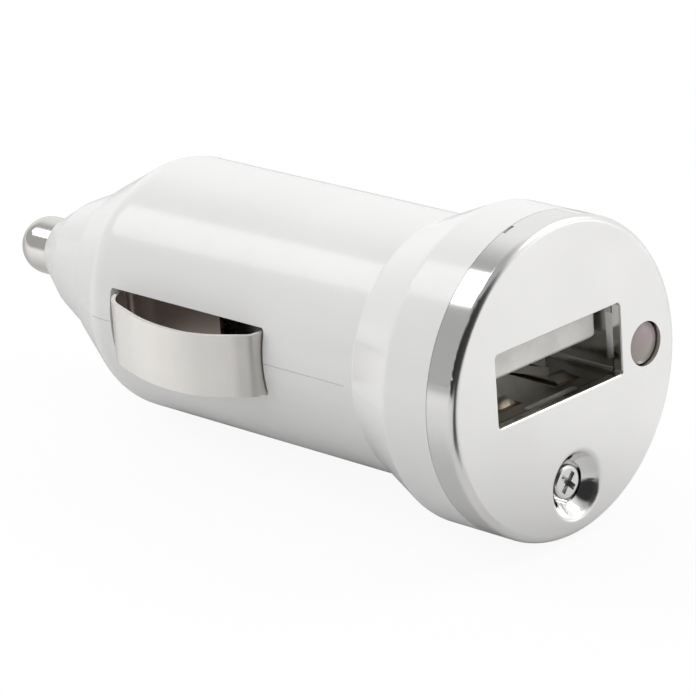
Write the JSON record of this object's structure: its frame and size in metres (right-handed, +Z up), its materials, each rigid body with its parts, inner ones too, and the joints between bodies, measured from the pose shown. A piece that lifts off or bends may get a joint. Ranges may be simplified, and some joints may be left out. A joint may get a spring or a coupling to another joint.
{
  "type": "car usb charger plug",
  "caption": "White bullet-shaped car charger plug with a plated end cap holding a USB-A port, an indicator lamp and a screw, arched side contacts and a sprung nose pin.",
  "frame": {"origin": "on the plug's axis where the flare meets the barrel", "axes": "+Y along the plug's axis towards the centre pin, so the port faces -Y; +X towards the indicator lamp; +Z up, away from the cap's screw"},
  "size_m": [0.025, 0.0543, 0.0226],
  "materials": {
    "shell_white": "glossy white moulded plastic",
    "cap_plated": "bright plated cap with a satin face",
    "pin_nickel": "nickel-plated turned pin",
    "contact_nickel": "nickel-plated spring strip",
    "spring_steel": "drawn spring wire",
    "terminal_brass": "pressed brass cup",
    "screw_zinc": "zinc-plated screw",
    "port_steel": "tinned folded sheet steel",
    "port_plastic": "pale insulating plastic",
    "contact_gilt": "thin gilt spring contact",
    "led_resin": "tinted lamp resin",
    "tinned_wire": "tinned wire",
    "board_laminate": "paper and resin laminate",
    "black_epoxy": "black moulded resin",
    "ferrite": "sintered ferrite",
    "copper_winding": "enamelled copper winding",
    "can_sleeve": "aluminium can",
    "fuse_ceramic": "fired ceramic",
    "wire_insulation": "black insulated wire"
  },
  "bodies": {
    "charger": {"upper_shell": "shell_white", "lower_shell": "shell_white", "nose_cap": "shell_white", "pin_spring": "spring_steel", "pin_terminal": "terminal_brass", "face_cap": "cap_plated", "cap_screw": "screw_zinc", "usb_shell": "port_steel", "usb_housing": "port_plastic", "usb_contact_1": "contact_gilt", "usb_contact_2": "contact_gilt", "usb_contact_3": "contact_gilt", "usb_contact_4": "contact_gilt", "led": "led_resin", "led_lead_lower": "tinned_wire", "led_lead_upper": "tinned_wire", "circuit_board": "board_laminate", "regulator_chip": "black_epoxy", "inductor_core": "ferrite", "inductor_coil": "copper_winding", "input_capacitor": "can_sleeve", "output_capacitor": "can_sleeve", "diode": "black_epoxy", "fuse": "fuse_ceramic", "ceramic_capacitor": "fuse_ceramic", "led_resistor": "black_epoxy", "divider_resistor_1": "black_epoxy", "divider_resistor_2": "black_epoxy", "ground_lead_left": "wire_insulation", "ground_lead_right": "wire_insulation"},
    "pin": {"centre_pin": "pin_nickel"},
    "contact_left": {"side_contact_left": "contact_nickel"},
    "contact_right": {"side_contact_right": "contact_nickel"}
  },
  "joints": [
    {"name": "centre_pin", "type": "slide", "parent": "charger", "child": "pin", "axis": [0, -1, 0], "range_m": [0, 0.002], "stiffness_N_per_m": 1500, "springref_m": -0.001, "deforming": ["pin_spring"]},
    {"name": "side_contact_left", "type": "slide", "parent": "charger", "child": "contact_left", "axis": [1, 0, 0], "range_m": [0, 0.0032], "stiffness_N_per_m": 1500, "springref_m": -0.0005, "deforming": ["ground_lead_left"]},
    {"name": "side_contact_right", "type": "slide", "parent": "charger", "child": "contact_right", "axis": [-1, 0, 0], "range_m": [0, 0.0032], "stiffness_N_per_m": 1500, "springref_m": -0.0005, "deforming": ["ground_lead_right"]}
  ]
}
